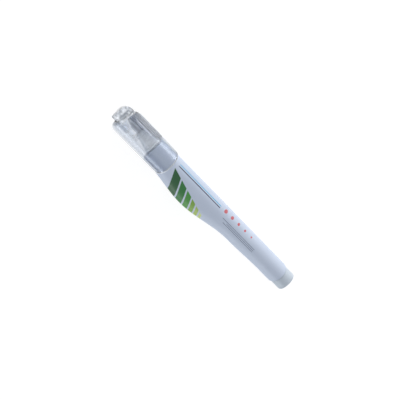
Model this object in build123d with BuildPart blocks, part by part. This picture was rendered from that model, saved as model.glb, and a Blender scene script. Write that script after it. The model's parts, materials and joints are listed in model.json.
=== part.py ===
"""Squeeze-type correction pen with a sprung needle tip and a clear pull-off cap.

Millimetres. The origin is the centre of the end plug's flat end, on the pen's long axis.
+X runs along that axis to the cap's nose, +Z points out of the broad front face, and the
barrel's squeeze belly swells towards +Y. The pen lies on its back face.
"""

import math
import os

from build123d import *

os.makedirs("parts", exist_ok=True)

# End plug
plug_head_length = 9.2
plug_radius = 5.85
plug_end_round = 1.7
plug_floor = 2.2
plug_wall = 1.2
plug_skirt_length = 6.4
plug_lead_in = 0.6
plug_clearance = 0.03

# Seam between plug and barrel, arched on both broad faces
seam_rise = 2.8
seam_gap = 0.05

# Barrel, measured along the pen from the plug's seam to the cap's rim at the narrow sides
barrel_length = 89.8
barrel_radius = 6.4
barrel_wall = 1.0
straight_length = 8.8
belly_depth = 11.75
belly_from_rim = 21.5
belly_front_run = 27.0
belly_front_depth = 9.2
belly_rear_run = 35.0
belly_rear_depth = 7.2
belly_sections = 13
shoulder_wall = 2.0
neck_length = 10.5
neck_bevel = 0.6

# Nozzle, pressed into the barrel's mouth on a sealing washer
washer_thickness = 0.8
washer_width = 0.5
washer_inset = 0.2
nozzle_clearance = 0.02
nozzle_plug_length = 8.0
nozzle_lead_in = 0.7
flange_thickness = 1.2
flange_inset = 0.55
cone_length = 6.3
cone_step = 0.5
spigot_length = 3.4
spigot_chamfer = 0.4
funnel_rim = 0.5
funnel_length = 5.0
passage_radius = 0.9

# Metal tip and the needle valve inside it
tip_radius = 1.7
tip_fit = 0.01
tip_shank_length = 6.0
tip_reach = 5.3
tip_cone_length = 3.0
tip_end_radius = 0.8
chamber_radius = 1.1
seat_from_cone = 1.5
needle_bore_radius = 0.45
needle_radius = 0.38
needle_reach = 0.6
needle_head_radius = 0.85
needle_head_length = 2.2
needle_tail_radius = 0.4
needle_tail_length = 4.0
valve_gap = 0.03
retainer_length = 1.2
retainer_setback = 0.8
retainer_hole_radius = 0.5
spring_radius = 0.72
spring_wire_radius = 0.11
spring_wire_sides = 6
spring_turns = 5
spring_seat_gap = 0.02

# Mixing ball, at rest on the reservoir's wall at its rear end
ball_radius = 2.5
ball_clearance = 0.05

# Cap: clear shell with an inner sleeve whose closed end is the nose
cap_radius = 7.1
cap_flat = 2.25
cap_wall = 0.95
cap_clearance = 0.1
cap_front_round = 3.4
cap_slant = 17.5
rim_rise = 3.4
rim_gap = 0.25
arch_round = 2.5
rib_count = 17
rib_span = 160.0
rib_radius = 0.4
rib_height = 0.25
rib_setback = 1.2
rib_length = 18.4
needle_room = 1.0
nose_floor = 6.9
nose_reach = 4.65
nose_edge_round = 0.8
nose_step = 0.45
nose_gap = 0.05
nose_bevel_round = 5.2
sleeve_gap = 0.85
sleeve_fit = 0.03
sleeve_wall = 1.3
sleeve_overlap = 2.4
lip_length = 3.0
lip_height = 0.5
lip_clearance = 0.08
collar_wall = 0.95
collar_end = 11.0
stop_ring_thickness = 1.2
stop_ring_clearance = 0.1

# Places along the pen's axis
seam_x = plug_head_length
straight_end_x = seam_x + straight_length
rim_x = seam_x + barrel_length
belly_x = rim_x - belly_from_rim
neck_x = rim_x + neck_length
flange_x = neck_x + washer_thickness
cone_x = flange_x + flange_thickness
spigot_x = cone_x + cone_length
nozzle_front_x = spigot_x + spigot_length
tip_cone_x = nozzle_front_x + tip_reach
tip_end_x = tip_cone_x + tip_cone_length
needle_end_x = tip_end_x + needle_reach
sleeve_floor_x = needle_end_x + needle_room
nose_x = sleeve_floor_x + nose_floor
section_span = 2 * max(belly_depth, cap_radius + cap_flat)

# Fits that several pieces share
bore_radius = barrel_radius - barrel_wall
neck_inset = cap_wall + cap_clearance
flange_radius = cap_radius - neck_inset - flange_inset
washer_radius = flange_radius - washer_inset
mouth_radius = washer_radius - washer_width
cone_radius = flange_radius - cone_step
sleeve_radius = cap_radius - cap_wall - sleeve_gap
sleeve_bore_radius = sleeve_radius - sleeve_wall
nose_radius = sleeve_radius + nose_step
nose_y = nose_radius + nose_gap + cap_wall - cap_radius
lip_radius = sleeve_bore_radius - lip_height
spigot_radius = lip_radius - lip_clearance
rim_slope = rim_rise / cap_radius
seam_slope = seam_rise / barrel_radius


def station(x):
    """Plane across the pen at x: its own x axis is the pen's +Y, its own y axis is +Z."""
    return Plane(origin=(x, 0, 0), x_dir=(0, 1, 0), z_dir=(1, 0, 0))


def raised_cosine(share):
    """1 at share 0, falling smoothly to 0 at share 1 and beyond."""
    return (1 + math.cos(math.pi * min(share, 1))) / 2


def depth_at(x):
    """Distance from the pen's axis to the barrel's belly side."""
    if x > belly_x:
        base = belly_front_depth
        swell = raised_cosine((x - belly_x) / belly_front_run)
    else:
        taper_end = belly_x - belly_rear_run
        along = (x - straight_end_x) / (taper_end - straight_end_x)
        base = belly_rear_depth - (belly_rear_depth - barrel_radius) * raised_cosine(along)
        swell = raised_cosine((belly_x - x) / belly_rear_run)
    return base + (belly_depth - base) * swell


def cap_section(x, inset):
    """Cross-section of the cap at x, drawn in by inset: a slot with flat broad faces.

    Its upper side (-Y) is half a circle about the pen's axis, and its belly side the same, shifted.
    """
    with BuildSketch(station(x)) as section:
        with Locations((cap_flat / 2, 0)):
            SlotCenterToCenter(cap_flat, 2 * (cap_radius - inset))
    return section.sketch


def belly_half(x, inset):
    """Belly side of the barrel's cross-section at x, drawn in by inset: half an ellipse."""
    with BuildSketch(station(x)) as section:
        with BuildLine():
            outline = EllipticalCenterArc(
                (0, 0), depth_at(x) - inset, barrel_radius - inset, start_angle=-90, arc_size=180
            )
            Line(outline @ 1, outline @ 0)
        make_face()
    return section.sketch


def back_half(x, inset):
    """Straight upper side of the barrel's cross-section at x, drawn in by inset: half a circle."""
    with BuildSketch(station(x)) as section:
        with BuildLine():
            outline = CenterArc((0, 0), barrel_radius - inset, 90, 180)
            Line(outline @ 1, outline @ 0)
        make_face()
    return section.sketch


def belly_halves(end_x, inset):
    """Evenly spaced belly sections from the end of the round rear part to end_x."""
    step = (end_x - straight_end_x) / (belly_sections - 1)
    return [belly_half(straight_end_x + step * index, inset) for index in range(belly_sections)]


def beyond_seam(vertex_x, slope, far_x):
    """Region on the XZ plane between an arched seam and far_x.

    The seam's vertex is at the narrow sides and its arms slope back towards the end plug.
    """
    arm_x = vertex_x - slope * section_span
    with BuildSketch(Plane.XZ) as region:
        with BuildLine():
            seam = FilletPolyline(
                (arm_x, section_span), (vertex_x, 0), (arm_x, -section_span), radius=arch_round
            )
            Polyline(seam @ 1, (far_x, -section_span), (far_x, section_span), seam @ 0)
        make_face()
    return region.sketch


def behind_x(vertex_x, slope):
    """A place well behind the arms of a seam."""
    return vertex_x - slope * section_span - section_span


# Reservoir: the hollow of the barrel, round at the rear and belly-shaped in front of that
reservoir_end_x = rim_x - rim_rise - shoulder_wall
with BuildPart() as reservoir:
    with BuildSketch(station(0)):
        Circle(bore_radius)
    extrude(amount=straight_end_x)
    extrude(back_half(straight_end_x, barrel_wall), amount=reservoir_end_x - straight_end_x)
    loft(belly_halves(reservoir_end_x, barrel_wall))
    with BuildSketch(station(reservoir_end_x)):
        Circle(mouth_radius)
    extrude(amount=neck_x - reservoir_end_x)

# Barrel: squeeze bottle with arched tongues at both ends and a recessed neck
with BuildPart() as barrel:
    with BuildSketch(station(seam_x - seam_rise)):
        Circle(barrel_radius)
    extrude(amount=straight_length + seam_rise)
    extrude(back_half(straight_end_x, 0), amount=rim_x - straight_end_x)
    loft(belly_halves(rim_x, 0))
    extrude(
        beyond_seam(seam_x, seam_slope, behind_x(seam_x, seam_slope)),
        amount=section_span, both=True, mode=Mode.SUBTRACT,
    )
    extrude(
        beyond_seam(rim_x - rim_gap, rim_slope, neck_x),
        amount=section_span, both=True, mode=Mode.SUBTRACT,
    )
    extrude(cap_section(reservoir_end_x, neck_inset), amount=neck_x - reservoir_end_x)
    chamfer(barrel.edges().group_by(Axis.X)[-1], neck_bevel)
    add(reservoir.part, mode=Mode.SUBTRACT)
barrel.part.label = "barrel"
export_step(barrel.part, "parts/barrel.step")

# End plug: hollow cup whose head follows the barrel's arched seam
skirt_radius = bore_radius - plug_clearance
skirt_end_x = seam_x + plug_skirt_length
with BuildPart() as end_plug:
    with BuildSketch(station(0)):
        Circle(plug_radius)
    extrude(amount=seam_x)
    fillet(end_plug.edges().group_by(Axis.X)[0], plug_end_round)
    extrude(
        beyond_seam(seam_x - seam_gap, seam_slope, skirt_end_x),
        amount=section_span, both=True, mode=Mode.SUBTRACT,
    )
    with BuildSketch(station(plug_floor)):
        Circle(skirt_radius)
    extrude(amount=skirt_end_x - plug_floor)
    chamfer(end_plug.edges().group_by(Axis.X)[-1], plug_lead_in)
    with BuildSketch(station(plug_floor)):
        Circle(skirt_radius - plug_wall)
    extrude(amount=skirt_end_x - plug_floor, mode=Mode.SUBTRACT)
end_plug.part.label = "end_plug"
export_step(end_plug.part, "parts/end_plug.step")

# Sealing washer between the barrel's mouth and the nozzle's flange
with BuildPart() as seal_washer:
    with BuildSketch(station(neck_x)):
        Circle(washer_radius)
        Circle(mouth_radius, mode=Mode.SUBTRACT)
    extrude(amount=washer_thickness)
seal_washer.part.label = "seal_washer"
export_step(seal_washer.part, "parts/seal_washer.step")

# Nozzle: plug, flange, cone and spigot in one turned profile, with the fluid's passage through it
nozzle_plug_radius = mouth_radius - nozzle_clearance
nozzle_lead_radius = nozzle_plug_radius - nozzle_lead_in
nozzle_rear_x = neck_x - nozzle_plug_length
tip_rear_x = nozzle_front_x - tip_shank_length
with BuildPart() as nozzle:
    with BuildSketch(Plane.XY):
        with BuildLine():
            Polyline(
                (nozzle_rear_x, nozzle_lead_radius - funnel_rim),
                (nozzle_rear_x, nozzle_lead_radius),
                (nozzle_rear_x + nozzle_lead_in, nozzle_plug_radius),
                (flange_x, nozzle_plug_radius),
                (flange_x, flange_radius),
                (cone_x, flange_radius),
                (cone_x, cone_radius),
                (spigot_x, spigot_radius),
                (nozzle_front_x - spigot_chamfer, spigot_radius),
                (nozzle_front_x, spigot_radius - spigot_chamfer),
                (nozzle_front_x, tip_radius),
                (tip_rear_x, tip_radius),
                (tip_rear_x, passage_radius),
                (nozzle_rear_x + funnel_length, passage_radius),
                close=True,
            )
        make_face()
    revolve(axis=Axis.X)
nozzle.part.label = "nozzle"
export_step(nozzle.part, "parts/nozzle.step")

# Metal tip: shank in the nozzle, round body, tapered end, and a stepped bore with a conical valve seat
seat_x = tip_cone_x - seat_from_cone
seat_length = chamber_radius - needle_bore_radius
with BuildPart() as metal_tip:
    with BuildSketch(Plane.XY):
        with BuildLine():
            Polyline(
                (tip_rear_x, chamber_radius),
                (tip_rear_x, tip_radius - tip_fit),
                (tip_cone_x, tip_radius - tip_fit),
                (tip_end_x, tip_end_radius),
                (tip_end_x, needle_bore_radius),
                (seat_x + seat_length, needle_bore_radius),
                (seat_x, chamber_radius),
                close=True,
            )
        make_face()
    revolve(axis=Axis.X)
metal_tip.part.label = "metal_tip"
export_step(metal_tip.part, "parts/metal_tip.step")

# Needle: a wire that stands out of the tip, a coned head on the valve seat and a tail inside the spring
head_x = seat_x + chamber_radius - needle_head_radius - valve_gap
head_cone_length = needle_head_radius - needle_radius
head_rear_x = head_x - needle_head_length
with BuildPart() as valve_needle:
    with BuildSketch(Plane.XY):
        with BuildLine():
            Polyline(
                (head_rear_x - needle_tail_length, 0),
                (head_rear_x - needle_tail_length, needle_tail_radius),
                (head_rear_x, needle_tail_radius),
                (head_rear_x, needle_head_radius),
                (head_x, needle_head_radius),
                (head_x + head_cone_length, needle_radius),
                (needle_end_x - needle_radius, needle_radius),
            )
            CenterArc((needle_end_x - needle_radius, 0), needle_radius, 0, 90)
            Line((needle_end_x, 0), (head_rear_x - needle_tail_length, 0))
        make_face()
    revolve(axis=Axis.X)
valve_needle.part.label = "valve_needle"
export_step(valve_needle.part, "parts/valve_needle.step")

# Retainer: a drilled bush in the tip's rear end, which the spring stands on
retainer_x = tip_rear_x + retainer_setback
with BuildPart() as spring_retainer:
    with BuildSketch(station(retainer_x)):
        Circle(chamber_radius - tip_fit)
        Circle(retainer_hole_radius, mode=Mode.SUBTRACT)
    extrude(amount=retainer_length)
spring_retainer.part.label = "spring_retainer"
export_step(spring_retainer.part, "parts/spring_retainer.step")

# Spring: a helix from the retainer to the needle's head, drawn as two tangent arcs to each half turn,
# with few sides to its thin wire
spring_start_x = retainer_x + retainer_length + spring_wire_radius + spring_seat_gap
spring_rise = head_rear_x - spring_wire_radius - spring_seat_gap - spring_start_x
spring_lead = spring_rise / spring_turns / math.tau


def coil_point(angle):
    """Point on the spring's centre line after turning by angle, in radians."""
    across = spring_radius * math.cos(angle)
    return Vector(spring_start_x + spring_lead * angle, across, spring_radius * math.sin(angle))


def coil_tangent(angle):
    """Unit direction of the spring's centre line at angle."""
    across = -spring_radius * math.sin(angle)
    return Vector(spring_lead, across, spring_radius * math.cos(angle)).normalized()


with BuildLine() as coil_path:
    for half_turn in range(2 * spring_turns):
        first = coil_point(half_turn * math.pi)
        last = coil_point((half_turn + 1) * math.pi)
        first_way = coil_tangent(half_turn * math.pi)
        last_way = coil_tangent((half_turn + 1) * math.pi)
        chord = last - first
        along = chord.dot(first_way + last_way)
        spread = 2 * (1 - first_way.dot(last_way))
        handle = (math.sqrt(along**2 + spread * chord.dot(chord)) - along) / spread
        middle = (first + last + (first_way - last_way) * handle) * 0.5
        middle_way = (chord - (first_way + last_way) * handle).normalized()
        TangentArc(first, middle, tangent=first_way)
        TangentArc(middle, last, tangent=middle_way)

with BuildPart() as valve_spring:
    with BuildSketch(Plane(origin=coil_point(0), z_dir=coil_tangent(0))):
        RegularPolygon(spring_wire_radius, spring_wire_sides)
    sweep(path=coil_path.line)
valve_spring.part.label = "valve_spring"
export_step(valve_spring.part, "parts/valve_spring.step")

points_per_turn = 24
coil_points = [
    coil_point(index * math.tau / points_per_turn) for index in range(spring_turns * points_per_turn + 1)
]
coil_gap = min(
    (later - point).length
    for index, point in enumerate(coil_points)
    for later in coil_points[index + points_per_turn // 2:]
) - 2 * spring_wire_radius
print(f"valve spring: least gap between turns {coil_gap:.2f} mm")

# Mixing ball: loose in the reservoir, rolled back against the plug's skirt
ball_reach = ball_radius + ball_clearance
with BuildPart() as mixing_ball:
    with Locations((skirt_end_x + ball_reach, 0, ball_reach - bore_radius)):
        Sphere(ball_radius)
mixing_ball.part.label = "mixing_ball"
export_step(mixing_ball.part, "parts/mixing_ball.step")

# Cap core: the hollow of the cap shell, less the collar that holds the inner cap
cap_front = Plane(origin=(nose_x - nose_reach, 0, 0), z_dir=(1, 0, 0)).rotated((0, 0, -cap_slant))
rim_back_x = rim_x - rim_rise - cap_wall
collar_x = nose_x - collar_end
collar_bore_radius = nose_radius + sleeve_fit
with BuildPart() as cap_core:
    extrude(cap_section(rim_back_x, cap_wall), amount=nose_x - rim_back_x)
    split(bisect_by=cap_front.offset(-cap_wall), keep=Keep.BOTTOM)
    fillet(cap_core.faces().sort_by(Axis.X)[-1].edges(), cap_front_round - cap_wall)
    with BuildSketch(station(collar_x)):
        with Locations((nose_y, 0)):
            Circle(collar_bore_radius + collar_wall)
    extrude(amount=nose_x - collar_x, mode=Mode.SUBTRACT)

# Cap shell: clear outer cap, slanted at the front, arched at the rim and ribbed on its upper side
with BuildPart() as cap_shell:
    extrude(cap_section(rim_back_x, 0), amount=nose_x - rim_back_x)
    split(bisect_by=cap_front, keep=Keep.BOTTOM)
    fillet(cap_shell.faces().sort_by(Axis.X)[-1].edges(), cap_front_round)
    with BuildSketch(station(neck_x + rib_setback)):
        with PolarLocations(
            cap_radius + rib_height - rib_radius, rib_count, 180 - rib_span / 2, rib_span, endpoint=True
        ):
            Circle(rib_radius)
    extrude(amount=rib_length)
    add(cap_core.part, mode=Mode.SUBTRACT)
    with BuildSketch(station(collar_x)):
        with Locations((nose_y, 0)):
            Circle(collar_bore_radius)
    extrude(amount=nose_x - collar_x, mode=Mode.SUBTRACT)
    extrude(
        beyond_seam(rim_x, rim_slope, behind_x(rim_x, rim_slope)),
        amount=section_span, both=True, mode=Mode.SUBTRACT,
    )
cap_shell.part.label = "cap_shell"
export_step(cap_shell.part, "parts/cap_shell.step")

# Inner cap: sleeve with a sealing lip over the spigot, a stop ring behind the collar, and a domed nose
# that is set towards the upper side
sleeve_end_x = nozzle_front_x - sleeve_overlap
lip_end_x = sleeve_end_x + lip_length
stop_ring_radius = cap_radius - cap_wall - stop_ring_clearance
bevel_y = nose_y - nose_radius + nose_bevel_round
with BuildPart() as inner_cap:
    with BuildSketch(station(sleeve_end_x)):
        Circle(sleeve_radius)
    extrude(amount=collar_x - sleeve_end_x)
    with BuildSketch(station(collar_x - stop_ring_thickness)):
        Circle(stop_ring_radius)
    extrude(amount=stop_ring_thickness)
    with BuildSketch(station(collar_x)):
        with Locations((nose_y, 0)):
            Circle(nose_radius)
    extrude(amount=nose_x - collar_x)
    fillet(inner_cap.edges().group_by(Axis.X)[-1], nose_edge_round)
    with BuildSketch(Plane.XY):
        with BuildLine():
            bevel = CenterArc((nose_x - nose_bevel_round, bevel_y), nose_bevel_round, -90, 90)
            Polyline(
                bevel @ 1,
                (nose_x + nose_bevel_round, bevel_y),
                (nose_x + nose_bevel_round, -section_span),
                (nose_x - nose_bevel_round, -section_span),
                bevel @ 0,
            )
        make_face()
    extrude(amount=nose_radius, both=True, mode=Mode.SUBTRACT)
    with BuildSketch(station(sleeve_end_x)):
        Circle(lip_radius)
    extrude(amount=lip_length, mode=Mode.SUBTRACT)
    with BuildSketch(station(lip_end_x)):
        Circle(sleeve_bore_radius)
    extrude(amount=sleeve_floor_x - lip_end_x, mode=Mode.SUBTRACT)
inner_cap.part.label = "inner_cap"
export_step(inner_cap.part, "parts/inner_cap.step")
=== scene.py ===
"""Looks of a squeeze-type correction pen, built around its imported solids.

Metres, in the solids' own frame: +X runs along the pen from the end plug to the cap's nose,
+Y points to the squeeze belly and +Z out of the printed face. The pen lies on its back.
"""

import json
import math

import bmesh
import bpy
import numpy as np
from mathutils import Matrix, Vector


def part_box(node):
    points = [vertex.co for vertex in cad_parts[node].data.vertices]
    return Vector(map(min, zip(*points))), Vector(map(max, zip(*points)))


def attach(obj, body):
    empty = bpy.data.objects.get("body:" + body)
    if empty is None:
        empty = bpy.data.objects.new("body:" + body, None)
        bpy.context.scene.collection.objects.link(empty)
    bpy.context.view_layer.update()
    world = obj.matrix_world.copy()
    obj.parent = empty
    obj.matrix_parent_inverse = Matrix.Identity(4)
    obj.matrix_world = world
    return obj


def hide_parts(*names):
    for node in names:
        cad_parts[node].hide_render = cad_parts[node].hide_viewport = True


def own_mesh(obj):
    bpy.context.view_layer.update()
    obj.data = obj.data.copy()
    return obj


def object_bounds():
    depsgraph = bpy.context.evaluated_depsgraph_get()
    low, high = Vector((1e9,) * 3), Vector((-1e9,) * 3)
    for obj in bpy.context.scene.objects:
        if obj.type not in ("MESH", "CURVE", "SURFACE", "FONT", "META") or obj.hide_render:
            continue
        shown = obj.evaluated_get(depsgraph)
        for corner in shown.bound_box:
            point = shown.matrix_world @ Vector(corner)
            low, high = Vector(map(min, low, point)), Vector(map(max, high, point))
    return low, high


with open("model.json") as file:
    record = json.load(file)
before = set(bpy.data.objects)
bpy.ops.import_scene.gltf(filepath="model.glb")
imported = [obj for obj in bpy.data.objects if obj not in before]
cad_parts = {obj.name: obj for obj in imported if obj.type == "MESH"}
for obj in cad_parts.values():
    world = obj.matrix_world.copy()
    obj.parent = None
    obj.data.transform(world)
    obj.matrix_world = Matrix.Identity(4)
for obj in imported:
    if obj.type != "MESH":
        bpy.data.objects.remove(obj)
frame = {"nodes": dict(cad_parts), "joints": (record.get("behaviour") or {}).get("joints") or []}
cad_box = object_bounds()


# End plug: a hollow cup of frosted polyethylene that closes the barrel's rear end. It is moulded
# in one piece and held by its skirt, a push fit in the bore. Its head follows the arched seam.
mm = 0.001
plug_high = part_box("end_plug")[1]
barrel_low, barrel_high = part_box("barrel")
barrel_radius = barrel_high.z
barrel_wall = 1.0 * mm
bore_radius = barrel_radius - barrel_wall
seam_rise = 2.8 * mm
seam_slope = seam_rise / barrel_radius
seam_x = barrel_low.x + seam_rise
seam_gap = 0.05 * mm
arch_round = 2.5 * mm
plug_radius = plug_high.z
plug_front_x = seam_x - seam_gap
plug_floor_x = 2.2 * mm
plug_wall = 1.2 * mm
plug_clearance = 0.03 * mm
skirt_radius = bore_radius - plug_clearance
plug_bore_radius = skirt_radius - plug_wall
plug_end_round = 1.7 * mm
plug_edge_round = 0.25 * mm
plug_root_round = 0.05 * mm
plug_lead_in = 0.5 * mm
plug_lip_round = 0.2 * mm
plug_floor_round = 0.6 * mm
plug_grid = 0.6 * mm
plug_colour = (216, 225, 234)
plug_shade = (205, 215, 225)
seam_shadow_colour = (160, 171, 184)
seam_shadow_reach = (-0.9 * mm, -0.2 * mm)
frost_roughness = (0.34, 0.5)
frost_swell = 0.6
frost_relief = 0.012 * mm
arc_steps = 6
lathe_columns = 128
grid_slack = 0.02
weld_distance = 1e-7
crisp_angle = math.radians(38)


def unit(vectors):
    """Vectors divided by their lengths."""
    return vectors / np.linalg.norm(vectors, axis=-1, keepdims=True)


def rounded(corners, radii, closed):
    """Profile whose corners are arcs of the given radii, each tangent to the two sides it joins.

    An arc's centre lies on the corner's bisector, radius / sin(half angle) from the corner, and its
    points turn evenly from one tangent point to the other. An open profile keeps its two ends.
    """
    corners = np.array(corners, float)
    before, corner, after = corners[:-2], corners[1:-1], corners[2:]
    if closed:
        before, corner, after = np.roll(corners, 1, axis=0), corners, np.roll(corners, -1, axis=0)
    radius = np.array(radii, float)[:, None]
    back = unit(before - corner)
    ahead = unit(after - corner)
    half = np.arccos(np.sum(back * ahead, axis=1, keepdims=True)) / 2
    centre = corner + unit(back + ahead) * radius / np.sin(half)
    first = corner + back * radius / np.tan(half) - centre
    last = corner + ahead * radius / np.tan(half) - centre
    bend = (np.pi - 2 * half)[:, None]
    share = np.linspace(0, 1, arc_steps + 1)[None, :, None]
    arms = np.sin((1 - share) * bend) * first[:, None] + np.sin(share * bend) * last[:, None]
    arcs = (centre[:, None] + arms / np.sin(bend)).reshape(-1, 2)
    return arcs if closed else np.vstack([corners[:1], arcs, corners[-1:]])


def refined(profile, step, closed):
    """The same profile with points added along it, about a step apart.

    Of two points nearer to each other than grid_slack of a step, only the first stays.
    """
    path = np.vstack([profile, profile[:1]]) if closed else profile
    run = np.append(0, np.cumsum(np.linalg.norm(np.diff(path, axis=0), axis=1)))
    places = np.union1d(run, np.linspace(0, run[-1], math.ceil(run[-1] / step)))
    places = places[np.append(True, np.diff(places) > grid_slack * step)]
    dense = np.stack([np.interp(places, run, column) for column in path.T], axis=1)
    return dense[:-1] if closed else dense


def full_turn(columns):
    """Angles once round an axis, evenly spaced."""
    return np.linspace(-np.pi, np.pi, columns, endpoint=False)


def ring(x, y, z):
    """Grid of points from coordinates that spread over its rows and columns."""
    return np.stack(np.broadcast_arrays(x, y, z), axis=-1)


def turned(profile):
    """Points of a profile (x, radius) turned about the pen's axis: (x, r cos a, r sin a)."""
    turn = full_turn(lathe_columns)
    x, radius = profile[:, :1], profile[:, 1:]
    return ring(x, radius * np.cos(turn), radius * np.sin(turn))


def skin(node, points, closed, material, body):
    """Piece over a grid of points, in place of a solid of the frame.

    Columns close into rings round the pen. Rows close on the first one, or end in a pole each.
    Points that fall together become one, and the faces are turned outwards.
    """
    name = f"{node}_dressed"
    index = np.arange(points.shape[0] * points.shape[1]).reshape(points.shape[:2])
    if closed:
        index = np.vstack([index, index[:1]])
    beside = np.roll(index, -1, axis=1)
    quads = np.stack([index[:-1], index[1:], beside[1:], beside[:-1]], axis=-1).reshape(-1, 4)
    mesh = bpy.data.meshes.new(name)
    mesh.from_pydata(points.reshape(-1, 3).tolist(), [], quads.tolist())
    form = bmesh.new()
    form.from_mesh(mesh)
    bmesh.ops.remove_doubles(form, verts=form.verts, dist=weld_distance)
    bmesh.ops.recalc_face_normals(form, faces=form.faces)
    form.to_mesh(mesh)
    form.free()
    mesh.shade_smooth()
    mesh.set_sharp_from_angle(angle=crisp_angle)
    mesh.materials.append(material)
    piece = bpy.data.objects.new(name, mesh)
    bpy.context.scene.collection.objects.link(piece)
    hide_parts(node)
    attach(piece, body)
    return piece


def arch(z, slope):
    """How far an arched seam lies behind its vertex at height z.

    It is slope times |z|, with the vertex rounded by a circle of arch_round tangent to both arms.
    """
    steep = math.hypot(1, slope)
    crown = arch_round * steep - np.sqrt(np.maximum(arch_round**2 - z**2, 0))
    return np.where(np.abs(z) < arch_round * slope / steep, crown, slope * np.abs(z))


def past_arch(x, z, vertex_x, slope):
    """How far a place lies in front of an arched seam's straight arms: x - vertex_x + slope |z|."""
    return x - vertex_x + z.math("ABSOLUTE") * slope


def paint(red, green, blue):
    """Linear colour of an 8-bit display colour, by the sRGB curve."""
    share = np.array([red, green, blue]) / 255
    linear = np.where(share <= 0.04045, share / 12.92, ((share + 0.055) / 1.055) ** 2.4)
    return (*linear.tolist(), 1.0)


def feed(socket, value):
    """Link a field to a socket, or set the socket's own value."""
    if isinstance(value, Field):
        socket.id_data.links.new(value.socket, socket)
    else:
        socket.default_value = value


class Field:
    """A shader socket. Arithmetic on it adds Math nodes, and node() adds a node of any other kind."""

    def __init__(self, socket):
        self.socket = socket

    def node(self, kind, settings, inputs, output=0):
        """Add a node: its settings first, then its sockets' values or links. Gives one output."""
        made = self.socket.id_data.nodes.new(kind)
        for key, value in settings.items():
            setattr(made, key, value)
        for key, value in inputs.items():
            feed(made.inputs[key], value)
        return Field(made.outputs[output])

    def math(self, operation, *others):
        """A Math node with this value first."""
        return self.node("ShaderNodeMath", {"operation": operation}, dict(enumerate((self, *others))))

    def __add__(self, other):
        return self.math("ADD", other)

    def __sub__(self, other):
        return self.math("SUBTRACT", other)

    def __rsub__(self, other):
        return self.node("ShaderNodeMath", {"operation": "SUBTRACT"}, {0: other, 1: self})

    def __mul__(self, other):
        return self.math("MULTIPLY", other)

    __radd__ = __add__
    __rmul__ = __mul__

    def within(self, low, high):
        """Value between low and high, by this share."""
        return low + self * (high - low)

    def axis(self, letter):
        """One coordinate of a place."""
        return self.node("ShaderNodeSeparateXYZ", {}, {0: self}, letter)

    def rise(self, low, high):
        """0 below low, 1 above high, with a smooth step between them."""
        settings = {"interpolation_type": "SMOOTHSTEP"}
        return self.node("ShaderNodeMapRange", settings, {0: self, 1: low, 2: high})

    def band(self, low, high, soft):
        """1 between low and high, with edges as wide as soft."""
        return self.rise(low - soft, low) * (1 - self.rise(high, high + soft))

    def noise(self, scale, detail):
        """Noise of that many lumps to the metre at this place, from 0 to 1."""
        return self.node("ShaderNodeTexNoise", {}, {"Vector": self, "Scale": scale, "Detail": detail})

    def stretched(self, x, y, z):
        """This place with its axes scaled."""
        return self.node("ShaderNodeMapping", {}, {"Vector": self, "Scale": (x, y, z)})

    def tint(self, first, second):
        """Colour between two, by this share. Inputs 6 and 7 and output 2 of a Mix node are its colours."""
        return self.node("ShaderNodeMix", {"data_type": "RGBA"}, {0: self, 6: first, 7: second}, 2)

    def bump(self, depth):
        """Normal of a surface with this height, as deep as depth."""
        return self.node("ShaderNodeBump", {}, {"Strength": 1.0, "Distance": depth, "Height": self})


def finish(name, **sockets):
    """New material with constant values on its shader's sockets. Gives it, its shader and its place."""
    material = bpy.data.materials.new(name)
    material.use_nodes = True
    nodes = material.node_tree.nodes
    shader = nodes["Principled BSDF"]
    for key, value in sockets.items():
        shader.inputs[key.replace("_", " ").title().replace("Ior", "IOR")].default_value = value
    return material, shader, Field(nodes.new("ShaderNodeTexCoord").outputs["Object"])


frosted_plastic, shader, place = finish("frosted_plastic", ior=1.5, transmission_weight=0.12)
cloud = place.noise(scale=260, detail=3)
grain = place.noise(scale=5200, detail=2)
# Painted shadow: the plug turns darker over its last millimetre or so before the arched seam, where the seam
# lies in shade.
seam_shadow = past_arch(place.axis("X"), place.axis("Z"), seam_x, seam_slope).rise(*seam_shadow_reach)
frost = cloud.tint(paint(*plug_shade), paint(*plug_colour))
feed(shader.inputs["Base Color"], seam_shadow.tint(frost, paint(*seam_shadow_colour)))
feed(shader.inputs["Roughness"], cloud.within(*frost_roughness))
feed(shader.inputs["Normal"], (grain + cloud * frost_swell).bump(frost_relief))

plug_profile = rounded(
    [
        (0, 0), (0, plug_radius), (plug_front_x, plug_radius), (plug_front_x, skirt_radius),
        (plug_high.x, skirt_radius), (plug_high.x, plug_bore_radius), (plug_floor_x, plug_bore_radius),
        (plug_floor_x, 0),
    ],
    [plug_end_round, plug_edge_round, plug_root_round, plug_lead_in, plug_lip_round, plug_floor_round],
    closed=False,
)
plug_points = turned(refined(plug_profile, plug_grid, closed=False))
# The turned plug is bent to the arched seam: all of it at the seam, fading out towards both ends.
bent_share = np.interp(plug_points[..., 0], [plug_end_round, plug_front_x, plug_high.x], [0, 1, 0])
plug_points[..., 0] -= bent_share * arch(plug_points[..., 2], seam_slope)
skin("end_plug", plug_points, False, frosted_plastic, "pen")


# Barrel: a squeeze bottle blown and moulded in satin white polyethylene. It is round at the rear, swells to
# a belly on one side for the fingers, and has a recessed neck that the cap slides over. It is printed on.
cap_low, cap_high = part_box("cap_shell")
cap_radius = 7.1 * mm
cap_flat = cap_high.y - cap_radius
cap_wall = 0.95 * mm
cap_clearance = 0.1 * mm
rim_rise = 3.4 * mm
rim_slope = rim_rise / cap_radius
rim_x = cap_low.x + rim_rise
rim_gap = 0.25 * mm
straight_length = 8.8 * mm
straight_end_x = seam_x + straight_length
belly_depth = barrel_high.y
belly_behind_rim = 21.5 * mm
belly_x = rim_x - belly_behind_rim
belly_front_run = 27 * mm
belly_front_depth = 9.2 * mm
belly_rear_run = 35 * mm
belly_rear_depth = 7.2 * mm
barrel_edge_round = 0.25 * mm
neck_x = barrel_high.x
neck_inset = cap_wall + cap_clearance
neck_round = 0.6 * mm
mouth_radius = 4.8 * mm
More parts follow.
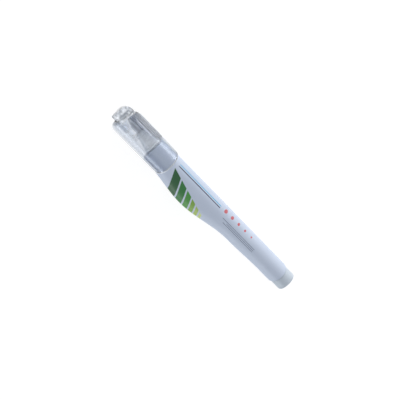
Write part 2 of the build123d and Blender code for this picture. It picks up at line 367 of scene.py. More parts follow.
shoulder_wall = 2.0 * mm
reservoir_end_x = rim_x - rim_rise - shoulder_wall
barrel_columns = 160
barrel_turn = full_turn(barrel_columns)
outside_rows = 122
chamber_rows = 60
neck_rows = 14
throat_rows = 8
ledge_rows = 4


def depth_at(x):
    """Distance from the pen's axis to the belly side at x.

    A raised cosine lifts it from a base depth to the belly's crest. In front of the crest the base is
    level; behind it another raised cosine brings the base up from the round rear part.
    """
    run = np.where(x > belly_x, belly_front_run, belly_rear_run)
    swell = (1 + np.cos(np.pi * np.minimum(np.abs(x - belly_x) / run, 1))) / 2
    along = np.clip((x - straight_end_x) / (belly_x - belly_rear_run - straight_end_x), 0, 1)
    rear = barrel_radius + (belly_rear_depth - barrel_radius) * (1 - np.cos(np.pi * along)) / 2
    base = np.where(x > belly_x, belly_front_depth, rear)
    return base + (belly_depth - base) * swell


def barrel_ring(x, inset):
    """Barrel's section at x, drawn in by inset: half a circle, and half an ellipse on the belly side."""
    across, upward = np.cos(barrel_turn), np.sin(barrel_turn)
    depth = np.where(across > 0, depth_at(x), barrel_radius) - inset
    return ring(x, depth * across, (barrel_radius - inset) * upward)


def cap_ring(x, inset, turn):
    """Cap's section at x, drawn in by inset, at outward normals of angle turn.

    It is a slot: half a circle about the pen's axis on the upper side, and the same half circle shifted
    by cap_flat on the belly side, with the flat broad faces between them.
    """
    across, upward = np.cos(turn), np.sin(turn)
    shift = np.where(across > 0, cap_flat, 0)
    return ring(x, shift + (cap_radius - inset) * across, (cap_radius - inset) * upward)


def between(first, last, count):
    """Rows from the first ring to just before the last one, evenly spaced."""
    return np.linspace(first, last, count, endpoint=False)


def quarter_round(radius):
    """Rows of an edge rounded by a quarter circle: radius (1 - sin a) and radius (1 - cos a)."""
    angle = np.linspace(0, np.pi / 2, arc_steps + 1)[:, None]
    return radius * (1 - np.sin(angle)), radius * (1 - np.cos(angle))


edge_drop, edge_run = quarter_round(barrel_edge_round)
edge_height = (barrel_radius - edge_drop) * np.sin(barrel_turn)
rear_edge = barrel_ring(seam_x - arch(edge_height, seam_slope) + edge_run, edge_drop)
front_edge = barrel_ring(rim_x - rim_gap - arch(edge_height, rim_slope) - edge_run, edge_drop)[::-1]
outside_x = np.linspace(rear_edge[-1, :, 0], front_edge[0, :, 0], outside_rows)[1:-1]
shoulder_height = cap_ring(0, neck_inset, barrel_turn)[..., 2]
shoulder = cap_ring(rim_x - rim_gap - arch(shoulder_height, rim_slope), neck_inset, barrel_turn)
neck_run, neck_drop = quarter_round(neck_round)
neck_edge = cap_ring(neck_x - neck_run, neck_inset + neck_drop, barrel_turn)
mouth = ring(neck_x, mouth_radius * np.cos(barrel_turn), mouth_radius * np.sin(barrel_turn))
throat = mouth - (neck_x - reservoir_end_x, 0, 0)
chamber_front = barrel_ring(np.full_like(barrel_turn, reservoir_end_x), barrel_wall)
bore_height = bore_radius * np.sin(barrel_turn)
chamber_x = np.linspace(reservoir_end_x, seam_x - arch(bore_height, seam_slope), chamber_rows)
chamber = barrel_ring(chamber_x, barrel_wall)
barrel_points = np.vstack([
    rear_edge,
    barrel_ring(outside_x, 0),
    front_edge,
    between(front_edge[-1], shoulder, ledge_rows)[1:],
    between(shoulder, neck_edge[0], neck_rows),
    neck_edge,
    between(neck_edge[-1], mouth, ledge_rows)[1:],
    between(mouth, throat, throat_rows),
    between(throat, chamber_front, ledge_rows),
    chamber,
    between(chamber[-1], rear_edge[0], ledge_rows)[1:],
])

print_soft = 0.06 * mm
face_fade = 1 * mm
bar_lean = 0.55
bar_behind_rim = 5.2 * mm
bar_first_width = 5.4 * mm
bar_shrink = 0.8
bar_gap = 1.1 * mm
bar_count = 6
bar_colours = [(40, 92, 52), (58, 140, 62), (150, 180, 76), (205, 220, 140)]
bar_top_y = -1.5 * mm
bar_top_slope = 0.27
stripe_rear_x = 60 * mm
stripe_behind_rim = 6 * mm
stripes = [(-2.6 * mm, 0.42 * mm, (34, 42, 78)), (-3.6 * mm, 0.3 * mm, (70, 176, 216))]
rule_rear_x = 29 * mm
rules = [(0.3 * mm, 26 * mm), (1.2 * mm, 22 * mm), (2.1 * mm, 24 * mm)]
rule_width = 0.22 * mm
rule_colour = (112, 124, 144)
dot_y = -3.4 * mm
dot_front_x = 56 * mm
dot_pitch = 5.2 * mm
dot_radii = [1.1 * mm, 0.95 * mm, 0.8 * mm, 0.65 * mm, 0.5 * mm]
dot_colour = (204, 112, 118)
barrel_colour = (208, 217, 232)
barrel_shade = (198, 208, 226)
slot_light_colour = (252, 253, 254)
slot_light_reach = (-0.3 * mm, 0.1 * mm)
slot_light_soft = 0.05 * mm
satin_roughness = (0.42, 0.52)
ink_gloss = 0.1
ink_height = 0.5
grain_height = 0.5
swell_height = 2
satin_relief = 0.01 * mm

white_plastic, shader, place = finish("white_plastic", ior=1.5)
cloud = place.noise(scale=90, detail=3)
grain = place.noise(scale=4200, detail=2)
x, y, z = place.axis("X"), place.axis("Y"), place.axis("Z")
front_face = z.rise(0, face_fade)
prints = []
bar_widths = bar_first_width * bar_shrink ** np.arange(bar_count)
bar_fronts = rim_x - bar_behind_rim - np.append(0, np.cumsum(bar_widths + bar_gap)[:-1])
bar_shares = np.linspace(0, 1, bar_count)
bar_stops = np.linspace(0, 1, len(bar_colours))
leaning = x + y * bar_lean
below_top = (y + (x - rim_x) * bar_top_slope).rise(bar_top_y, bar_top_y + print_soft)
for bar_share, bar_front, bar_width in zip(bar_shares, bar_fronts.tolist(), bar_widths.tolist()):
    bar_colour = [np.interp(bar_share, bar_stops, channel) for channel in zip(*bar_colours)]
    bar = leaning.band(bar_front - bar_width, bar_front, print_soft) * below_top
    prints.append((bar, bar_colour))
for stripe_y, stripe_width, stripe_colour in stripes:
    stripe = x.band(stripe_rear_x, rim_x - stripe_behind_rim, print_soft) * front_face
    prints.append((stripe * y.band(stripe_y, stripe_y + stripe_width, print_soft), stripe_colour))
for rule_y, rule_length in rules:
    rule = x.band(rule_rear_x, rule_rear_x + rule_length, print_soft) * front_face
    prints.append((rule * y.band(rule_y, rule_y + rule_width, print_soft), rule_colour))
for number, dot_radius in enumerate(dot_radii):
    along, aside = x - (dot_front_x - number * dot_pitch), y - dot_y
    from_dot = (along * along + aside * aside).math("SQRT")
    prints.append(((1 - from_dot.rise(dot_radius, dot_radius + print_soft)) * front_face, dot_colour))

colour = cloud.tint(paint(*barrel_shade), paint(*barrel_colour))
# Painted light: the barrel turns near white at its front edge and shoulder, in the gap under the cap's rim,
# where shade would fall.
slot_light = past_arch(x, z, rim_x, rim_slope).band(*slot_light_reach, slot_light_soft)
colour = slot_light.tint(colour, paint(*slot_light_colour))
for mask, ink_colour in prints:
    colour = mask.tint(colour, paint(*ink_colour))
ink = sum(mask for mask, ink_colour in prints)
relief = grain * grain_height + cloud * swell_height + ink * ink_height
feed(shader.inputs["Base Color"], colour)
feed(shader.inputs["Roughness"], cloud.within(*satin_roughness) - ink * ink_gloss)
feed(shader.inputs["Normal"], relief.bump(satin_relief))
skin("barrel", barrel_points, True, white_plastic, "pen")


# Sealing washer: a flat ring of grey rubber, punched from sheet and squeezed between the barrel's mouth and
# the nozzle's flange, so its edges are round.
washer_low, washer_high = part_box("seal_washer")
washer_round = 0.2 * mm
washer_grid = 0.15 * mm
rubber_colour = (166, 171, 180)
rubber_bloom = (184, 189, 197)
rubber_roughness = (0.6, 0.8)
rubber_relief = 0.01 * mm

grey_rubber, shader, place = finish("grey_rubber", ior=1.52)
dust = place.noise(scale=2600, detail=4)
feed(shader.inputs["Base Color"], dust.tint(paint(*rubber_colour), paint(*rubber_bloom)))
feed(shader.inputs["Roughness"], dust.within(*rubber_roughness))
feed(shader.inputs["Normal"], dust.bump(rubber_relief))
washer_profile = rounded(
    [
        (washer_low.x, mouth_radius), (washer_low.x, washer_high.z),
        (washer_high.x, washer_high.z), (washer_high.x, mouth_radius),
    ],
    [washer_round] * 4,
    closed=True,
)
washer_points = turned(refined(washer_profile, washer_grid, closed=True))
skin("seal_washer", washer_points, True, grey_rubber, "pen")


# Nozzle: plug, flange, cone and spigot moulded in one piece of natural, milky polyethylene. It is pressed
# into the barrel's mouth on the washer, and the cap's sleeve seals on its spigot.
nozzle_low, nozzle_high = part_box("nozzle")
tip_low, tip_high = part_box("metal_tip")
nozzle_fit = 0.02 * mm
nozzle_plug_radius = mouth_radius - nozzle_fit
nozzle_lead_in = 0.7 * mm
nozzle_lip = 0.5 * mm
flange_thickness = 1.2 * mm
flange_front_x = washer_high.x + flange_thickness
flange_ledge = 0.5 * mm
cone_radius = nozzle_high.z - flange_ledge
cone_length = 6.3 * mm
spigot_radius = 3.42 * mm
spigot_x = flange_front_x + cone_length
funnel_radius = nozzle_plug_radius - nozzle_lead_in - nozzle_lip
funnel_length = 5 * mm
passage_radius = 0.9 * mm
tip_hole_radius = 1.7 * mm
nozzle_edge = 0.15 * mm
nozzle_root_round = 0.1 * mm
flange_round = 0.3 * mm
spigot_root_round = 0.5 * mm
spigot_round = 0.4 * mm
tip_hole_round = 0.05 * mm
nozzle_grid = 0.5 * mm
nozzle_colour = (247, 249, 251)
nozzle_shade = (236, 240, 244)
nozzle_roughness = (0.2, 0.34)
nozzle_relief = 0.01 * mm

natural_plastic, shader, place = finish("natural_plastic", ior=1.5, transmission_weight=0.08)
cloud = place.noise(scale=420, detail=3)
grain = place.noise(scale=5200, detail=2)
feed(shader.inputs["Base Color"], cloud.tint(paint(*nozzle_shade), paint(*nozzle_colour)))
feed(shader.inputs["Roughness"], cloud.within(*nozzle_roughness))
feed(shader.inputs["Normal"], (grain + cloud).bump(nozzle_relief))
nozzle_profile = rounded(
    [
        (nozzle_low.x, funnel_radius), (nozzle_low.x, nozzle_plug_radius - nozzle_lead_in),
        (nozzle_low.x + nozzle_lead_in, nozzle_plug_radius), (washer_high.x, nozzle_plug_radius),
        (washer_high.x, nozzle_high.z), (flange_front_x, nozzle_high.z), (flange_front_x, cone_radius),
        (spigot_x, spigot_radius), (nozzle_high.x, spigot_radius), (nozzle_high.x, tip_hole_radius),
        (tip_low.x, tip_hole_radius), (tip_low.x, passage_radius),
        (nozzle_low.x + funnel_length, passage_radius),
    ],
    [
        nozzle_edge, nozzle_edge, nozzle_edge, nozzle_root_round, nozzle_edge, flange_round, nozzle_edge,
        spigot_root_round, spigot_round, nozzle_edge, tip_hole_round, tip_hole_round, nozzle_edge,
    ],
    closed=True,
)
nozzle_points = turned(refined(nozzle_profile, nozzle_grid, closed=True))
skin("nozzle", nozzle_points, True, natural_plastic, "pen")


# Metal tip: a turned and nickel-plated tube pressed into the spigot. Its front tapers to the writing end, and
# its stepped bore ends in the conical seat that the needle's head closes.
tip_radius = tip_high.z
tip_cone_length = 3 * mm
tip_cone_x = tip_high.x - tip_cone_length
tip_cone_round = 0.6 * mm
tip_end_radius = 0.8 * mm
tip_end_round = 0.12 * mm
seat_behind_cone = 1.5 * mm
tip_seat_x = tip_cone_x - seat_behind_cone
chamber_radius = 1.1 * mm
needle_bore_radius = 0.45 * mm
tip_edge = 0.08 * mm
tip_grid = 0.3 * mm
nickel_colour = (196, 198, 203)
nickel_shade = (172, 175, 181)
mark_stretch = 0.02
mark_roughness = 0.12
mark_relief = 0.004 * mm


def steel(name, colour, shade, roughness, lines):
    """Metal with fine tool marks: noise drawn out round the pen's axis, that many lines to the metre."""
    material, shader, place = finish(name, metallic=1.0)
    marks = place.stretched(1, mark_stretch, mark_stretch).noise(scale=lines, detail=3)
    feed(shader.inputs["Base Color"], marks.tint(paint(*shade), paint(*colour)))
    feed(shader.inputs["Roughness"], roughness + marks * mark_roughness)
    feed(shader.inputs["Normal"], marks.bump(mark_relief))
    return material


nickel_steel = steel("nickel_steel", nickel_colour, nickel_shade, roughness=0.34, lines=9000)
tip_profile = rounded(
    [
        (tip_low.x, chamber_radius), (tip_low.x, tip_radius), (tip_cone_x, tip_radius),
        (tip_high.x, tip_end_radius), (tip_high.x, needle_bore_radius),
        (tip_seat_x + chamber_radius - needle_bore_radius, needle_bore_radius), (tip_seat_x, chamber_radius),
    ],
    [tip_edge, tip_edge, tip_cone_round, tip_end_round, tip_edge, tip_edge, tip_edge],
    closed=True,
)
tip_points = turned(refined(tip_profile, tip_grid, closed=True))
skin("metal_tip", tip_points, True, nickel_steel, "pen")


# Valve needle: ground bright steel wire with a coned head that the spring holds on the seat. Its round end
# stands out of the tip, and pressing it on the paper lets the fluid out.
needle_low, needle_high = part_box("valve_needle")
needle_radius = 0.38 * mm
needle_end_round = 0.9 * needle_radius
needle_tail_radius = 0.4 * mm
needle_tail_length = 4 * mm
needle_head_radius = needle_high.z
needle_head_length = 2.2 * mm
needle_head_rear_x = needle_low.x + needle_tail_length
needle_head_front_x = needle_head_rear_x + needle_head_length
needle_edge = 0.06 * mm
needle_grid = 0.2 * mm
needle_colour = (206, 208, 212)
needle_shade = (190, 192, 198)

needle_steel = steel("needle_steel", needle_colour, needle_shade, roughness=0.14, lines=14000)
needle_profile = rounded(
    [
        (needle_low.x, 0), (needle_low.x, needle_tail_radius), (needle_head_rear_x, needle_tail_radius),
        (needle_head_rear_x, needle_head_radius), (needle_head_front_x, needle_head_radius),
        (needle_head_front_x + needle_head_radius - needle_radius, needle_radius),
        (needle_high.x, needle_radius), (needle_high.x, 0),
    ],
    [needle_edge] * 5 + [needle_end_round],
    closed=False,
)
needle_points = turned(refined(needle_profile, needle_grid, closed=False))
skin("valve_needle", needle_points, False, needle_steel, "needle")


# Valve spring: drawn steel wire wound into an open coil. It stands on the retainer and pushes the needle's
# head onto its seat, so it shortens by the needle's travel.
spring_low, spring_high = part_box("valve_spring")
spring_turns = 5
spring_wire_radius = 0.105 * mm
spring_radius = 0.72 * mm
spring_wire_columns = 16
spring_rows_per_turn = 40
spring_colour = (180, 182, 186)
spring_shade = (160, 162, 168)


def coiled(start, rise):
    """Points of a round wire wound into a coil.

    At turning angle a the wire's centre is (start + rise a / whole, R cos a, R sin a). Its section lies
    across the coil's line, and the two ends close in a pole.
    """
    whole = 2 * np.pi * spring_turns
    angle = np.linspace(0, whole, spring_rows_per_turn * spring_turns + 1)[:, None]
    lead = rise / whole
    centre = ring(start + lead * angle, spring_radius * np.cos(angle), spring_radius * np.sin(angle))
    outward = ring(0 * angle, np.cos(angle), np.sin(angle))
    along = unit(ring(lead + 0 * angle, -spring_radius * np.sin(angle), spring_radius * np.cos(angle)))
    turn = full_turn(spring_wire_columns)[None, :, None]
    tube = centre + spring_wire_radius * (np.cos(turn) * outward + np.sin(turn) * np.cross(along, outward))
    first, last = (np.repeat(end, spring_wire_columns, axis=1) for end in (centre[:1], centre[-1:]))
    return np.vstack([first, tube, last])


spring_steel = steel("spring_steel", spring_colour, spring_shade, roughness=0.24, lines=12000)
spring_start = spring_low.x + spring_wire_radius
spring_points = coiled(spring_start, spring_high.x - spring_wire_radius - spring_start)
spring = skin("valve_spring", spring_points, False, spring_steel, "pen")
needle_travel = next(joint["range_m"][1] for joint in frame["joints"] if joint["name"] == "needle_press")
spring_keep = 1 - needle_travel / (spring_high.x - spring_low.x)
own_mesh(spring)


# Retainer and mixing ball: a turned brass bush pressed into the tip, and a polished steel ball that stirs the
# fluid. Both are inside the pen, and keep the shapes of the solids.
brass_colour = (206, 176, 104)
brass_shade = (190, 158, 88)
ball_colour = (208, 210, 214)
ball_shade = (196, 198, 204)
hidden_finishes = {
    "spring_retainer": steel("turned_brass", brass_colour, brass_shade, roughness=0.22, lines=10000),
    "mixing_ball": steel("ball_steel", ball_colour, ball_shade, roughness=0.08, lines=2000),
}
for node, material in hidden_finishes.items():
    frame["nodes"][node].data.materials.clear()
    frame["nodes"][node].data.materials.append(material)


# Inner cap: a sleeve of clear polystyrene with a sealing lip over the spigot. A stop ring seats it behind the
# cap's collar, and its closed front end is the nose, domed towards the upper side.
inner_low, inner_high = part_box("inner_cap")
sleeve_radius = 5.3 * mm
sleeve_bore_radius = 4.0 * mm
sleeve_floor_round = 0.4 * mm
lip_radius = 3.5 * mm
lip_length = 3 * mm
lip_end_x = inner_low.x + lip_length
nose_x = inner_high.x
nose_solid = 6.9 * mm
sleeve_floor_x = nose_x - nose_solid
nose_length = 11 * mm
collar_x = nose_x - nose_length
stop_ring_radius = inner_high.z
stop_ring_thickness = 1.2 * mm
stop_ring_rear_x = collar_x - stop_ring_thickness
nose_step = 0.45 * mm
nose_radius = sleeve_radius + nose_step
nose_y = inner_low.y + nose_radius
nose_edge_round = 0.8 * mm
nose_flat_radius = nose_radius - nose_edge_round
nose_bevel_round = 5.2 * mm
inner_edge = 0.12 * mm
inner_grid = 0.35 * mm
nose_side_rows = 24
nose_front_rows = 20
clear_colour = (250, 251, 253)
clear_shade = (243, 245, 248)
clear_roughness = (0.02, 0.12)
scuff_stretch = 0.15
scuff_share = (0.55, 0.8)
nose_colour = (226, 230, 236)
nose_shade = (132, 139, 148)
nose_tint_reach = (nose_x - 7 * mm, nose_x - 5 * mm)
mottle_share = (0.36, 0.64)
lip_alpha = 0.3
lip_fade = 0.8 * mm
ripple_height = 0.1
lump_height = 0.6
sleeve_relief = 0.3 * mm


def clear(name, film_colour):
    """Clear plastic that lamps shine through: rays towards a lamp meet a Transparent shader instead.

    Gives the material, its shader, its place, and two noises for scuffs and for ripples in its skin.
    """
    material, shader, place = finish(name, ior=1.5, transmission_weight=1.0)
    nodes = material.node_tree.nodes
    lamp_ray = Field(nodes.new("ShaderNodeLightPath").outputs["Is Shadow Ray"])
    film = place.node("ShaderNodeBsdfTransparent", {}, {"Color": paint(*film_colour)})
    through = place.node("ShaderNodeMixShader", {}, {0: lamp_ray, 1: Field(shader.outputs[0]), 2: film})
    feed(nodes["Material Output"].inputs["Surface"], through)
    scuffs = place.stretched(scuff_stretch, 1, 1).noise(scale=2400, detail=4).rise(*scuff_share)
    return material, shader, place, scuffs, place.noise(scale=240, detail=2)


# The solid nose is greyer and lumpier than the sleeve. The thin lip is mostly see-through, so that the spigot
# shows in it.
sleeve_plastic, shader, place, scuffs, ripple = clear("sleeve_plastic", clear_colour)
x = place.axis("X")
lumps = place.noise(scale=620, detail=2)
mottle = lumps.rise(*mottle_share)
in_nose = x.rise(*nose_tint_reach)
pale = mottle.tint(paint(*clear_shade), paint(*clear_colour))
past_lip = x.rise(lip_end_x, lip_end_x + lip_fade)
relief = ripple * ripple_height + lumps * in_nose * lump_height
feed(shader.inputs["Base Color"], in_nose.tint(pale, mottle.tint(paint(*nose_shade), paint(*nose_colour))))
feed(shader.inputs["Roughness"], scuffs.within(*clear_roughness))
feed(shader.inputs["Alpha"], past_lip.within(lip_alpha, 1))
feed(shader.inputs["Normal"], relief.bump(sleeve_relief))

sleeve_profile = rounded(
    [
        (sleeve_floor_x, 0), (sleeve_floor_x, sleeve_bore_radius), (lip_end_x, sleeve_bore_radius),
        (lip_end_x, lip_radius), (inner_low.x, lip_radius), (inner_low.x, sleeve_radius),
        (stop_ring_rear_x, sleeve_radius), (stop_ring_rear_x, stop_ring_radius), (collar_x, stop_ring_radius),
    ],
    [sleeve_floor_round] + [inner_edge] * 6,
    closed=False,
)
nose_turn = full_turn(lathe_columns)


def nose_face(radius):
    """Rings of the nose's front at radii about its own axis.

    It is flat, falls off along a quarter circle at its edge, and is cut by a larger quarter circle that
    is tangent to the front and to the upper side.
    """
    y = nose_y + radius * np.cos(nose_turn)
    edge = np.clip(radius - nose_flat_radius, 0, nose_edge_round)
    front = nose_x - nose_edge_round + np.sqrt(nose_edge_round**2 - edge**2)
    fall = np.clip(nose_y - nose_radius + nose_bevel_round - y, 0, nose_bevel_round)
    dome = nose_x - nose_bevel_round + np.sqrt(nose_bevel_round**2 - fall**2)
    return ring(np.minimum(front, dome), y, radius * np.sin(nose_turn))


nose_edge = nose_face(nose_radius - quarter_round(nose_edge_round)[1])
nose_root = nose_edge[0] * (0, 1, 1) + (collar_x, 0, 0)
inner_points = np.vstack([
    turned(refined(sleeve_profile, inner_grid, closed=False)),
    between(nose_root, nose_edge[0], nose_side_rows),
    nose_edge,
    nose_face(np.linspace(nose_flat_radius, 0, nose_front_rows)[1:, None]),
])
skin("inner_cap", inner_points, False, sleeve_plastic, "cap")


# Cap shell: clear polystyrene, moulded with a slanted, rounded front, an arched rim and grip ribs on the
# upper side. A collar inside its front holds the inner cap, and the shell slides over the barrel's neck.
cap_slant = math.radians(17.5)
nose_stand = 4.65 * mm
cap_front_x = nose_x - nose_stand
cap_front_round = 3.4 * mm
cap_edge_round = 0.2 * mm
collar_fit = 0.03 * mm
collar_wall = 0.95 * mm
collar_radius = nose_radius + collar_fit
collar_outer_radius = collar_radius + collar_wall
pocket_fade = 0.5 * mm
rib_count = 17
rib_pitch = 10.0
rib_radius = 0.4 * mm
rib_height = 0.25 * mm
rib_past_neck = 1.2 * mm
rib_length = 17.6 * mm
rib_rear_x = neck_x + rib_past_neck
rib_front_x = rib_rear_x + rib_length
rib_end = 0.5 * mm
grip_top_y = -4.5 * mm
grip_low_y = -1.4 * mm
grip_slope = 0.25
rib_steps = [-5, -3.6, -3.0, -2.4, -1.3, 0, 1.3, 2.4, 3.0, 3.6]
rib_angles = 180 + rib_pitch * (np.arange(rib_count) - (rib_count - 1) / 2)
rib_edge = rib_pitch * rib_count / 2
belly_columns = 80
belly_angles = np.linspace(rib_edge - 180, 180 - rib_edge, belly_columns, endpoint=False)
cap_turn = np.radians(np.append(belly_angles, np.add.outer(rib_angles, rib_steps)))
grip_height = np.clip(cap_radius * np.cos(cap_turn), grip_top_y, grip_low_y)
rib_start_x = rib_rear_x + (grip_height - grip_top_y) / grip_slope
side_rows = [24, 5, 14, 5, 6]
front_rows = 18
bore_rows = 6
collar_rows = 3
pocket_rows = 5
pocket_floor_rows = 10
inside_rows = 40


def front_x(inset, shell):
    """How far forward the cap's front reaches at inset, outside (shell 0) or a wall's thickness inside.

    Seen along the side wall, the slanted front is a line of slope -cos(turn) tan(slant) inwards. A circle
    tangent to that line and to the wall rounds the corner.
    """
    radius = cap_front_round - shell
    slope = -np.cos(cap_turn) * math.tan(cap_slant)
    steep = np.hypot(1, slope)
    outline_y = cap_ring(0, shell, cap_turn)[..., 1]
    line = cap_front_x - shell / math.cos(cap_slant) + outline_y * math.tan(cap_slant)
    inwards = inset - shell
    arc = np.sqrt(np.maximum(radius**2 - (radius - inwards) ** 2, 0))
    corner = line + slope * radius - steep * radius + arc
    return np.where(inwards < radius - radius * slope / steep, corner, line + slope * inwards)


def inset_of_circle(radius):
    """Inset at which each normal of the cap's section meets a circle about the nose's axis."""
    y, z = np.moveaxis(cap_ring(0, 0, cap_turn)[..., 1:] - (nose_y, 0), -1, 0)
    across = y * np.cos(cap_turn) + z * np.sin(cap_turn)
    return across - np.sqrt(across**2 - y**2 - z**2 + radius**2)


def rib_lift(x):
    """Height of the grip ribs: round bars half sunk in the wall, faded out at both ends.

    The lower a rib lies on the side, the further forward it starts, along a slanted line.
    """
    offset = np.radians((np.degrees(cap_turn) - 180 + rib_pitch / 2) % rib_pitch - rib_pitch / 2)
    bar = cap_radius + rib_height - rib_radius
    reach = bar * np.cos(offset) + np.sqrt(np.maximum(rib_radius**2 - (bar * np.sin(offset)) ** 2, 0))
    on_bar = (np.abs(bar * np.sin(offset)) < rib_radius) & (cap_turn > np.radians(180 - rib_edge))
    lift = np.where(on_bar, np.maximum(reach - cap_radius, 0), 0)
    ends = np.clip(np.minimum(x - rib_start_x, rib_front_x - x) / rib_end, 0, 1)
    return lift * np.sqrt(1 - (1 - ends) ** 2)


def rim_rows(inset, run):
    """Rows of the cap's arched rim, drawn in by inset and set forward by run."""
    rows = cap_ring(0, inset, cap_turn)
    rows[..., 0] = rim_x - arch(rows[..., 2], rim_slope) + run
    return rows


edge_drop, edge_run = quarter_round(cap_edge_round)
rim_outside = rim_rows(edge_drop, edge_run)
rim_inside = rim_rows(cap_wall - edge_drop[::-1], edge_run[::-1])
side_stops = np.broadcast_arrays(
    rim_outside[-1, :, 0], rib_start_x, rib_start_x + rib_end,
    rib_front_x - rib_end, rib_front_x, front_x(0, 0),
)
side_x = np.vstack([between(*stops) for stops in zip(side_stops, side_stops[1:], side_rows)])
bore_inset = inset_of_circle(collar_radius)
front_inset = (1 - np.cos(np.linspace(0, np.pi / 2, front_rows)))[:, None] * bore_inset
bore_front = cap_ring(front_x(bore_inset, 0), bore_inset, cap_turn)
bore_rear = cap_ring(np.full_like(cap_turn, collar_x), bore_inset, cap_turn)
pocket_inset = np.maximum(inset_of_circle(collar_outer_radius), cap_wall)
pocket_width = pocket_inset - cap_wall
pocket_share = np.clip(pocket_width / pocket_fade, 0, 1)
collar_rear = cap_ring(np.full_like(cap_turn, collar_x), pocket_inset, cap_turn)
floor_share = 1 - np.cos(np.linspace(np.pi / 2, 0, pocket_floor_rows))[:, None]
floor_inset = cap_wall + floor_share * pocket_width
floor_x = collar_x + pocket_share * (front_x(floor_inset, cap_wall) - collar_x)
pocket_floor = cap_ring(floor_x, floor_inset, cap_turn)
cap_points = np.vstack([
    rim_outside,
    cap_ring(side_x, -rib_lift(side_x), cap_turn)[1:],
    cap_ring(front_x(front_inset, 0), front_inset, cap_turn),
    between(bore_front, bore_rear, bore_rows)[1:],
    between(bore_rear, collar_rear, collar_rows),
    between(collar_rear, pocket_floor[0], pocket_rows),
    pocket_floor,
    between(pocket_floor[-1], rim_inside[0], inside_rows)[1:],
    rim_inside,
])

shell_colour = (249, 250, 252)
shell_shade = (243, 245, 247)
shell_film = (164, 169, 177)
shell_relief = 0.008 * mm
belly_side_shade_colour = (226, 230, 236)
belly_side_shade_reach = (2 * mm, 6 * mm)
edge_shade_colour = (188, 195, 206)
upper_edge_reach = (4.4 * mm, 7.1 * mm)
belly_edge_reach = (7.2 * mm, 8.4 * mm)
neck_end_reach = (neck_x - 0.6 * mm, neck_x + 0.2 * mm)
corner_shade_colour = (176, 182, 190)
corner_shade_depth = (1.0 * mm, 3.4 * mm)
corner_reach = (4.6 * mm, 6.6 * mm)
grip_shade_colour = (222, 227, 235)
grip_roughness = 0.14
grip_overrun = 2.4 * mm
grip_end_soft = 0.6 * mm
grip_side_soft = 0.4 * mm
groove_shade_colour = (98, 104, 116)
groove_shade_reach = (math.radians(2.2), math.radians(3.6))
rim_highlight_colour = (232, 235, 240)
rim_roughness = 0.5
cut_reach = (0.25 * mm, 0.4 * mm)
front_alpha = 0.12
front_film_depth = (0.6 * mm, 1.8 * mm)

# The tints are painted shade that stands for what the wall's thickness and the ribs show by refraction:
# greyer towards the belly side, along the edges, at the front corner and over the ribs, dark in the grooves.
# The rim's cut edge is a pale, rough mirror, a painted highlight along the rim. Alpha thins the front, apart
# from its belly side, so that the nose shows through it.
shell_plastic, shader, place, scuffs, ripple = clear("shell_plastic", shell_film)
x, y, z = place.axis("X"), place.axis("Y"), place.axis("Z")
mottle = place.noise(scale=300, detail=2)
grip_edge = ((x - rib_rear_x) * grip_slope + grip_top_y).math("MINIMUM", grip_low_y)
above_edge = 1 - (y - grip_edge).rise(-grip_side_soft, grip_side_soft)
grip = x.band(rib_rear_x, rib_front_x + grip_overrun, grip_end_soft) * above_edge
from_top = z.math("ABSOLUTE").math("ARCTAN2", 0 - y)
groove_shade = from_top.math("PINGPONG", math.radians(rib_pitch / 2)).rise(*groove_shade_reach) * grip
over_neck = 1 - x.rise(*neck_end_reach)
edge = (0 - y).rise(*upper_edge_reach).math("MAXIMUM", y.rise(*belly_edge_reach) * over_neck)
behind_front = (cap_front_x - x) + y * math.tan(cap_slant)
belly_side = y.rise(*corner_reach)
corner = (1 - behind_front.rise(*corner_shade_depth)) * belly_side
cut_edge = 1 - past_arch(x, z, rim_x, rim_slope).rise(*cut_reach)
colour = mottle.tint(paint(*shell_shade), paint(*shell_colour))
# Painted shade: the shell turns greyer towards the belly side.
colour = y.rise(*belly_side_shade_reach).tint(colour, paint(*belly_side_shade_colour))
# Painted shade: the shell turns greyer along its upper edge, and along its belly edge over the neck.
colour = edge.tint(colour, paint(*edge_shade_colour))
# Painted shade: the shell turns greyer at its front corner on the belly side.
colour = corner.tint(colour, paint(*corner_shade_colour))
# Painted shade: the shell turns greyer over the ribbed grip.
colour = grip.tint(colour, paint(*grip_shade_colour))
# Painted shade: dark lines in the grooves between the ribs.
colour = groove_shade.tint(colour, paint(*groove_shade_colour))
# Painted highlight: the rim's cut edge is a pale, rough mirror.
colour = cut_edge.tint(colour, paint(*rim_highlight_colour))
roughness = scuffs.within(*clear_roughness) + grip * grip_roughness + cut_edge * rim_roughness
film = behind_front.rise(*front_film_depth).math("MAXIMUM", belly_side)
feed(shader.inputs["Base Color"], colour)
feed(shader.inputs["Metallic"], cut_edge)
feed(shader.inputs["Roughness"], roughness)
feed(shader.inputs["Alpha"], film.within(front_alpha, 1))
feed(shader.inputs["Normal"], ripple.bump(shell_relief))
skin("cap_shell", cap_points, True, shell_plastic, "cap")


# Floor, light and camera: a plain pale sweep, a tall softbox beside the pen's upper side, a weaker one beside
# the belly, and a long lens above the printed face, leaning towards the cap.
floor_size = 6.0
floor_bounce = 0.85
floor_shadow = 0.3
floor_glow = 0.86
scatter_share = 0.65
ambient = (0.415, 0.43, 0.455, 1.0)
horizon = (1.0, 1.0, 1.0, 1.0)
ceiling = (0.7, 0.72, 0.75, 1.0)
ceiling_reach = (0.2, 0.9)
lens = 100.0
view_lean = math.radians(11)
view_roll = math.radians(44.43)
view_distance = 0.6224
view_aim = Vector((0.07, 0.0025, 0.0))
pen_middle = Vector((0.07, 0.0, 0.0))


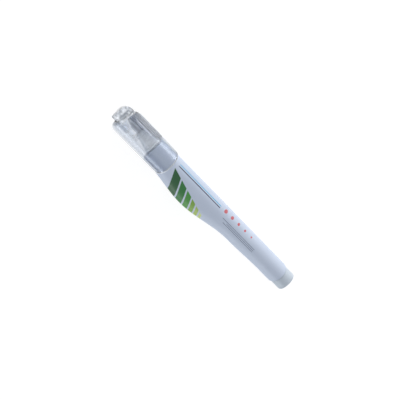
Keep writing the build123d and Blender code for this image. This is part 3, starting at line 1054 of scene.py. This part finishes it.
def seen(tree):
    """How white the room is for a ray: 1 on its way to the camera, straight or by gloss and clear pieces,
    scatter_share for one that passed a clear piece after a matte bounce, and 0 for the rest.
    """
    path = tree.nodes.new("ShaderNodeLightPath")
    camera, glossy, through, scattered = (
        Field(path.outputs[name])
        for name in ("Is Camera Ray", "Is Glossy Ray", "Is Transmission Ray", "Diffuse Depth")
    )
    shown = camera.math("MAXIMUM", glossy).math("MAXIMUM", through)
    return shown * (1 - scattered.math("GREATER_THAN", 0.5) * (1 - scatter_share))


floor_mesh = bpy.data.meshes.new("floor")
half = floor_size / 2
floor_z = min(cad_box[0].z, 0)
floor_mesh.from_pydata(
    [(-half, -half, floor_z), (half, -half, floor_z), (half, half, floor_z), (-half, half, floor_z)],
    [], [(0, 1, 2, 3)],
)
floor = bpy.data.objects.new("floor", floor_mesh)
bpy.context.scene.collection.objects.link(floor)
floor_paint = bpy.data.materials.new("floor_paint")
floor_paint.use_nodes = True
tree = floor_paint.node_tree
tree.nodes.remove(tree.nodes["Principled BSDF"])
view = seen(tree)
floor_grey = view.tint((floor_bounce,) * 3 + (1.0,), (floor_shadow,) * 3 + (1.0,))
matte = view.node("ShaderNodeBsdfDiffuse", {}, {"Color": floor_grey})
glow = view.node("ShaderNodeEmission", {}, {"Strength": view * floor_glow})
both = view.node("ShaderNodeAddShader", {}, {0: matte, 1: glow})
feed(tree.nodes["Material Output"].inputs["Surface"], both)
floor_mesh.materials.append(floor_paint)

world = bpy.data.worlds.new("studio")
bpy.context.scene.world = world
world.use_nodes = True
backdrop = world.node_tree.nodes["Background"]
above = Field(world.node_tree.nodes.new("ShaderNodeTexCoord").outputs["Generated"]).axis("Z")
room = above.rise(*ceiling_reach).tint(horizon, ceiling)
feed(backdrop.inputs["Color"], seen(world.node_tree).tint(ambient, room))


def softbox(name, offset, width, height, power, colour, mirrored):
    """Area lamp at an offset from the pen's middle, turned to face it. Gloss shows it only if mirrored."""
    lamp = bpy.data.lights.new(name, "AREA")
    lamp.shape = "RECTANGLE"
    lamp.size = width
    lamp.size_y = height
    lamp.energy = power
    lamp.color = colour
    holder = bpy.data.objects.new(name, lamp)
    bpy.context.scene.collection.objects.link(holder)
    holder.visible_glossy = mirrored
    holder.location = pen_middle + Vector(offset)
    holder.rotation_euler = Vector(offset).to_track_quat("Z", "Y").to_euler()


softbox(
    "key_softbox", offset=(0.0, -0.5, 0.15), width=0.8, height=0.28, power=2.4,
    colour=(1.0, 1.0, 1.0), mirrored=False,
)
softbox(
    "fill_softbox", offset=(0.0, 0.55, 0.13), width=0.8, height=0.26, power=1.3,
    colour=(0.96, 0.98, 1.0), mirrored=True,
)

camera = bpy.data.objects.new("camera", bpy.data.cameras.new("camera"))
bpy.context.scene.collection.objects.link(camera)
bpy.context.scene.camera = camera
camera.data.lens = lens
camera.data.clip_start = 0.01
camera.data.clip_end = 10.0
back = Vector((math.sin(view_lean), 0, math.cos(view_lean)))
along = Vector((math.cos(view_lean), 0, -math.sin(view_lean)))
upward = math.cos(view_roll) * along + math.sin(view_roll) * along.cross(back)
axes = Matrix((upward.cross(back), upward, back)).transposed()
camera.matrix_world = Matrix.Translation(view_aim + back * view_distance) @ axes.to_4x4()
bpy.context.scene.view_settings.view_transform = "Standard"
